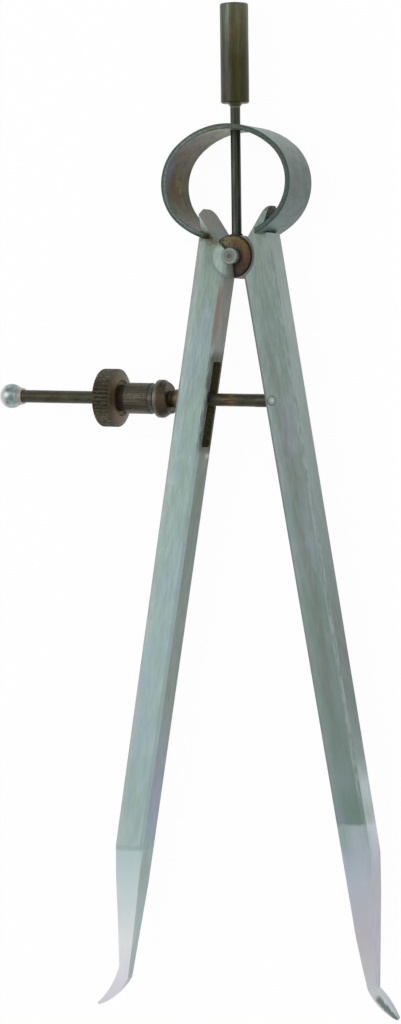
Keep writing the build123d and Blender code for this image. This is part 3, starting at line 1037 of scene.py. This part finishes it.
def place_mesh(name, mesh, material):
    """A mesh in the scene as an object with one material."""
    mesh.materials.clear()
    mesh.materials.append(material)
    piece = bpy.data.objects.new(name, mesh)
    bpy.context.scene.collection.objects.link(piece)
    return piece


def new_mesh(name, vertices, faces):
    """A mesh from its points and faces."""
    mesh = bpy.data.meshes.new(name)
    mesh.from_pydata(vertices, [], faces)
    mesh.validate()
    mesh.update()
    return mesh


def thread_cut(distance, angle):
    """How far the thread's surface lies below its crest."""
    if not thread_start < distance < spindle_end - thread_pitch:
        return 0.0
    phase = (distance / thread_pitch + angle / (2 * math.pi)) % 1.0
    return thread_depth * (1 - abs(2 * phase - 1))


def spindle_stations():
    """Where along the spindle its surface has a ring of points."""
    stations = [spindle_start]
    distance = thread_start
    while distance < spindle_end:
        stations.append(distance)
        distance += thread_pitch / thread_steps
    stations.append(spindle_end)
    return stations


def spindle_ring(distance):
    """One ring of points round the spindle."""
    points = []
    for step in range(spindle_sides):
        angle = 2 * math.pi * step / spindle_sides
        out = screw_side * math.cos(angle) + Vector((0, 0, 1)) * math.sin(angle)
        radius = spindle_radius - thread_cut(distance, angle)
        points.append(swivel + screw_axis * distance + out * radius)
    return points


def spindle_mesh():
    """The closed surface of the spindle with its thread."""
    rings = [spindle_ring(distance) for distance in spindle_stations()]
    faces = []
    for ring in range(len(rings) - 1):
        start = ring * spindle_sides
        above = start + spindle_sides
        for step in range(spindle_sides):
            after = (step + 1) % spindle_sides
            faces.append((start + step, start + after, above + after, above + step))
    last = (len(rings) - 1) * spindle_sides
    faces.append(tuple(reversed(range(spindle_sides))))
    faces.append(tuple(range(last, last + spindle_sides)))
    mesh = new_mesh("threaded_spindle", sum(rings, []), faces)
    mesh.shade_smooth()
    return mesh


def threaded_spindle(material):
    """The spindle with its screw thread, in place of the plain one."""
    piece = place_mesh("threaded_spindle", spindle_mesh(), material)
    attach(piece, "screw")
    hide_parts("spindle")


def bow_half_mesh(name, side):
    """The bow spring's own mesh, cut at the middle and closed there; side is -1 or 1."""
    mesh = frame["nodes"]["bow_spring"].data.copy()
    mesh.name = name
    work = bmesh.new()
    work.from_mesh(mesh)
    bmesh.ops.remove_doubles(work, verts=work.verts, dist=weld_distance)
    cut = bmesh.ops.bisect_plane(
        work,
        geom=work.verts[:] + work.edges[:] + work.faces[:],
        plane_co=fulcrum,
        plane_no=Vector((-side, 0, 0)),
        clear_outer=True,
    )
    rim = [item for item in cut["geom_cut"] if isinstance(item, bmesh.types.BMEdge)]
    bmesh.ops.holes_fill(work, edges=rim, sides=0)
    work.to_mesh(mesh)
    work.free()
    # The copied normals don't fit the cut mesh
    mesh.attributes.remove(mesh.attributes["custom_normal"])
    mesh.shade_smooth()
    mesh.set_sharp_from_angle(angle=bow_crease_angle)
    return mesh


def bow_half(name, side, material):
    """Half of the bow spring, in place of the whole one."""
    piece = place_mesh(name, bow_half_mesh(name, side), material)
    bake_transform(piece)
    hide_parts("bow_spring")


def floor_material():
    """A pale floor that shows white to the camera and keeps a faint shadow."""
    material, shader = new_material("pale_floor", 0.0, 0.9)
    shader.inputs["Base Color"].default_value = (floor_grey, floor_grey, floor_grey, 1)
    nodes = material.node_tree.nodes
    links = material.node_tree.links
    output = next(node for node in nodes if node.type == "OUTPUT_MATERIAL")
    glow = nodes.new("ShaderNodeEmission")
    path = nodes.new("ShaderNodeLightPath").outputs
    seen = path["Is Camera Ray"]
    for ray in ("Is Glossy Ray", "Is Transmission Ray"):
        seen = math_node(material, "MAXIMUM", seen, path[ray])
    blend = nodes.new("ShaderNodeMixShader")
    links.new(times(material, seen, floor_glow), blend.inputs[0])
    links.new(shader.outputs["BSDF"], blend.inputs[1])
    links.new(glow.outputs["Emission"], blend.inputs[2])
    links.new(blend.outputs["Shader"], output.inputs["Surface"])
    return material


def white_floor():
    """The floor that the caliper lies on."""
    far = floor_reach
    corners = [(-far, -far, 0), (far, -far, 0), (far, far, 0), (-far, far, 0)]
    floor = place_mesh("floor", new_mesh("floor", corners, [(0, 1, 2, 3)]), floor_material())


def area_light(name, place, width, power):
    """A soft square light that points at the middle of the object."""
    lamp = bpy.data.lights.new(name, "AREA")
    lamp.size = width
    lamp.energy = power
    light = bpy.data.objects.new(name, lamp)
    light.location = place
    light.rotation_euler = (-Vector(place)).to_track_quat("-Z", "Y").to_euler()
    bpy.context.scene.collection.objects.link(light)


def lighting():
    """Soft studio light: a high key from the left, a weaker fill and an even surround."""
    area_light("key", key_place, key_width, key_power)
    area_light("fill", fill_place, fill_width, fill_power)
    world = bpy.data.worlds.new("studio")
    bpy.context.scene.world = world
    world.use_nodes = True
    surround = world.node_tree.nodes["Background"]
    surround.inputs["Color"].default_value = (1.0, 1.0, 1.0, 1)
    surround.inputs["Strength"].default_value = surround_strength


def camera_matrix():
    """Where the camera stands and how it is turned."""
    azimuth = math.radians(camera_azimuth)
    elevation = math.radians(camera_elevation)
    roll = math.radians(camera_roll)
    back = Vector(
        (
            math.sin(azimuth) * math.cos(elevation),
            math.sin(elevation),
            math.cos(azimuth) * math.cos(elevation),
        )
    )
    level = Vector((math.cos(azimuth), 0, -math.sin(azimuth)))
    upright = back.cross(level)
    right = level * math.cos(roll) - upright * math.sin(roll)
    up = level * math.sin(roll) + upright * math.cos(roll)
    target = fulcrum + Vector(camera_target) / millimetres_in_metre
    place = target + back * (camera_distance / millimetres_in_metre)
    return Matrix.Translation(place) @ Matrix((right, up, back)).transposed().to_4x4()


def camera():
    """The camera, at the photograph's viewing angle."""
    lens = bpy.data.cameras.new("camera")
    lens.sensor_width = sensor_width
    lens.lens = focal_pixels / image_height * lens.sensor_width
    lens.clip_start = nearest_seen
    lens.clip_end = farthest_seen
    eye = bpy.data.objects.new("camera", lens)
    eye.matrix_world = camera_matrix()
    bpy.context.scene.collection.objects.link(eye)
    bpy.context.scene.camera = eye


fulcrum_pin_steel = pin_material(
    "fulcrum_pin_steel",
    fulcrum,
    fulcrum_pin_radius,
    middle=(70, 66, 66),
    ring=(94, 98, 92),
    rim=(122, 134, 127),
)
# The cross pin's bright middle is a painted highlight
cross_pin_steel = pin_material(
    "cross_pin_steel",
    swivel,
    cross_pin_radius,
    middle=(166, 178, 176),
    ring=(128, 144, 136),
    rim=(100, 116, 108),
)
bow_steel = bow_material()

assign("left_leg", left_leg_material())
assign("right_leg", right_leg_material())
assign("handle", handle_material())
assign("fulcrum_roller", roller_material())
assign("fulcrum_pin", fulcrum_pin_steel)
assign("cross_pin", cross_pin_steel)
assign("thumb_nut", nut_material())
assign("seat_washer", washer_material())
assign("spindle_cap", cap_material())

threaded_spindle(spindle_material())
bow_half("bow_left_half", -1, bow_steel)
bow_half("bow_right_half", 1, bow_steel)
white_floor()
lighting()
camera()
bpy.context.scene.view_settings.view_transform = "Standard"
